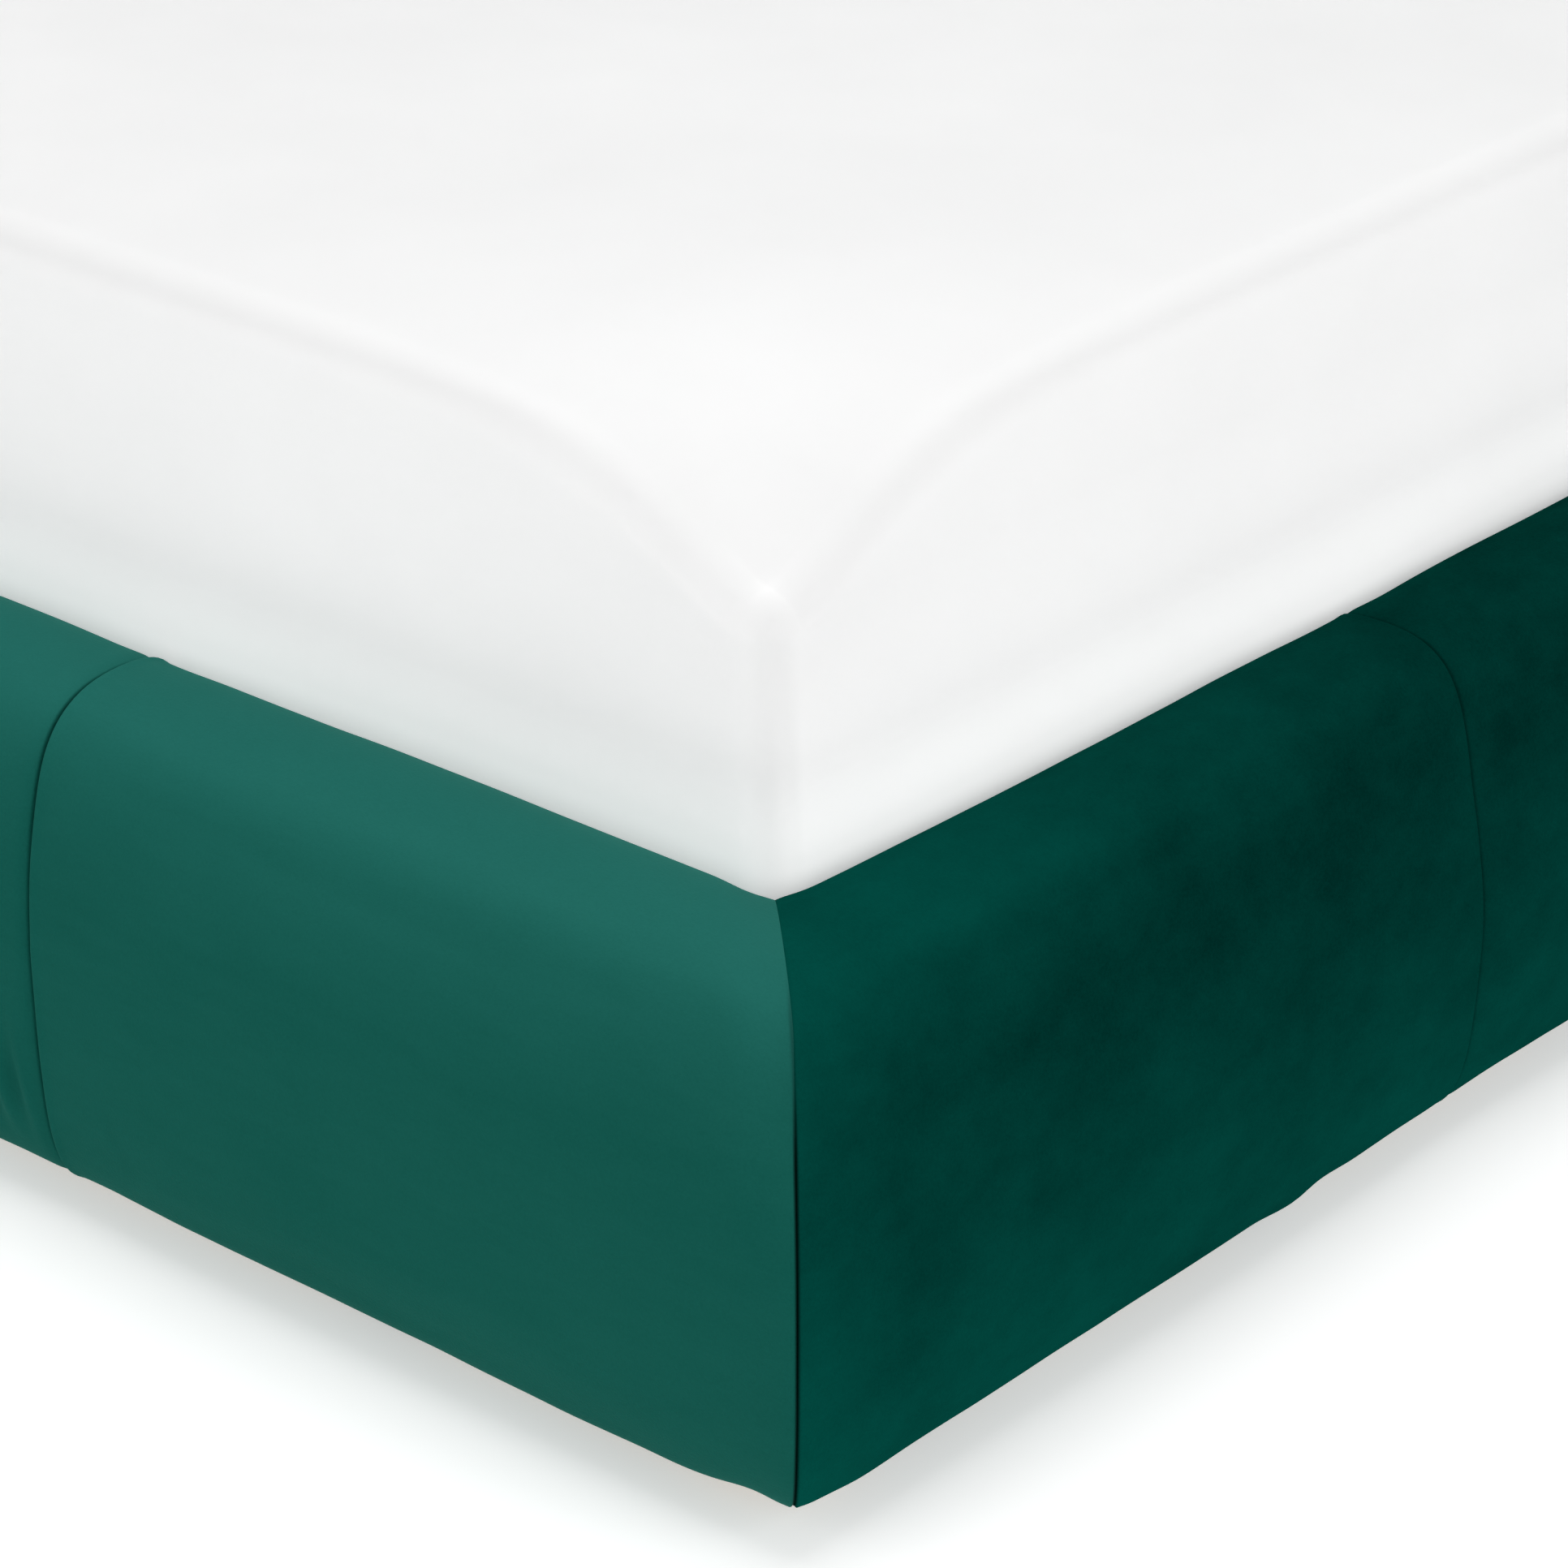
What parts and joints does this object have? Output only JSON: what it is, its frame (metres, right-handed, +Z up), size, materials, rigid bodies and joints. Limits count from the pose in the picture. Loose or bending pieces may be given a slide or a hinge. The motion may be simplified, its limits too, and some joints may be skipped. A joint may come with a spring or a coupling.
{
  "type": "upholstered bed",
  "caption": "Velvet upholstered bed with thick padded side rails mitred at the foot, a padded headboard, sprung slats on a centre beam, and a lift-off mattress in a fitted sheet.",
  "frame": {"origin": "on the floor, at the middle of the bed's footprint", "axes": "+Y from the foot to the headboard, +Z up, +X to the right seen from the foot"},
  "size_m": [1.86, 2.276, 1.12],
  "materials": {
    "velvet": "deep green short-pile velvet",
    "sheet_cotton": "white cotton, stretched",
    "ticking": "quilted pale ticking",
    "mattress_foam_firm": "open-cell foam",
    "mattress_foam_soft": "open-cell foam",
    "upholstery_foam": "open-cell foam",
    "back_cloth": "black non-woven cloth",
    "plywood": "sanded plywood",
    "pine": "planed softwood",
    "birch_slat": "laminated birch, sealed",
    "black_plastic": "moulded, matte",
    "black_steel": "powder coated black",
    "zinc_steel": "zinc plated"
  },
  "bodies": {
    "bed_frame": {"beam_hangers": "black_steel", "beam_legs": "pine", "bed_feet": "black_plastic", "bracket_bolts": "zinc_steel", "bracket_t_nuts": "zinc_steel", "bracket_washers": "zinc_steel", "centre_beam": "pine", "feet_screws": "zinc_steel", "foot_corner_brackets": "black_steel", "foot_rail_battens": "pine", "foot_rail_boards": "plywood", "foot_rail_cover_centre": "velvet", "foot_rail_cover_left": "velvet", "foot_rail_cover_right": "velvet", "foot_rail_foam": "upholstery_foam", "foot_rail_spacers": "plywood", "hanger_screws": "zinc_steel", "headboard_back_cloth": "back_cloth", "headboard_corner_brackets": "black_steel", "headboard_cover_centre": "velvet", "headboard_cover_left": "velvet", "headboard_cover_right": "velvet", "headboard_cross_rails": "pine", "headboard_face_board": "plywood", "headboard_foam": "upholstery_foam", "headboard_mounting_blocks": "plywood", "headboard_posts": "pine", "ledger_left": "pine", "ledger_right": "pine", "ledger_screws": "zinc_steel", "leg_bolts": "zinc_steel", "side_rail_battens_left": "pine", "side_rail_battens_right": "pine", "side_rail_boards_left": "plywood", "side_rail_boards_right": "plywood", "side_rail_cover_foot_left": "velvet", "side_rail_cover_foot_right": "velvet", "side_rail_cover_head_left": "velvet", "side_rail_cover_head_right": "velvet", "side_rail_cover_middle_left": "velvet", "side_rail_cover_middle_right": "velvet", "side_rail_foam_left": "pine", "side_rail_foam_right": "pine", "side_rail_spacers_left": "plywood", "side_rail_spacers_right": "plywood", "slat_caps_centre": "black_plastic", "slat_caps_left": "black_plastic", "slat_caps_right": "black_plastic", "slats_left": "birch_slat", "slats_right": "birch_slat"},
    "mattress": {"mattress_base_cloth": "ticking", "mattress_base_foam": "mattress_foam_firm", "mattress_ticking": "ticking", "mattress_top_foam": "mattress_foam_soft", "fitted_sheet": "sheet_cotton"},
    "front_levelling_foot": {"levelling_foot_front": "zinc_steel"},
    "rear_levelling_foot": {"levelling_foot_rear": "zinc_steel"}
  },
  "joints": [
    {"name": "mattress_lift", "type": "slide", "parent": "bed_frame", "child": "mattress", "axis": [0, 0, 1], "range_m": [0, 0.4]},
    {"name": "front_foot_screw", "type": "slide", "parent": "bed_frame", "child": "front_levelling_foot", "axis": [0, 0, 1], "range_m": [0, 0.015]},
    {"name": "rear_foot_screw", "type": "slide", "parent": "bed_frame", "child": "rear_levelling_foot", "axis": [0, 0, 1], "range_m": [0, 0.015]}
  ]
}
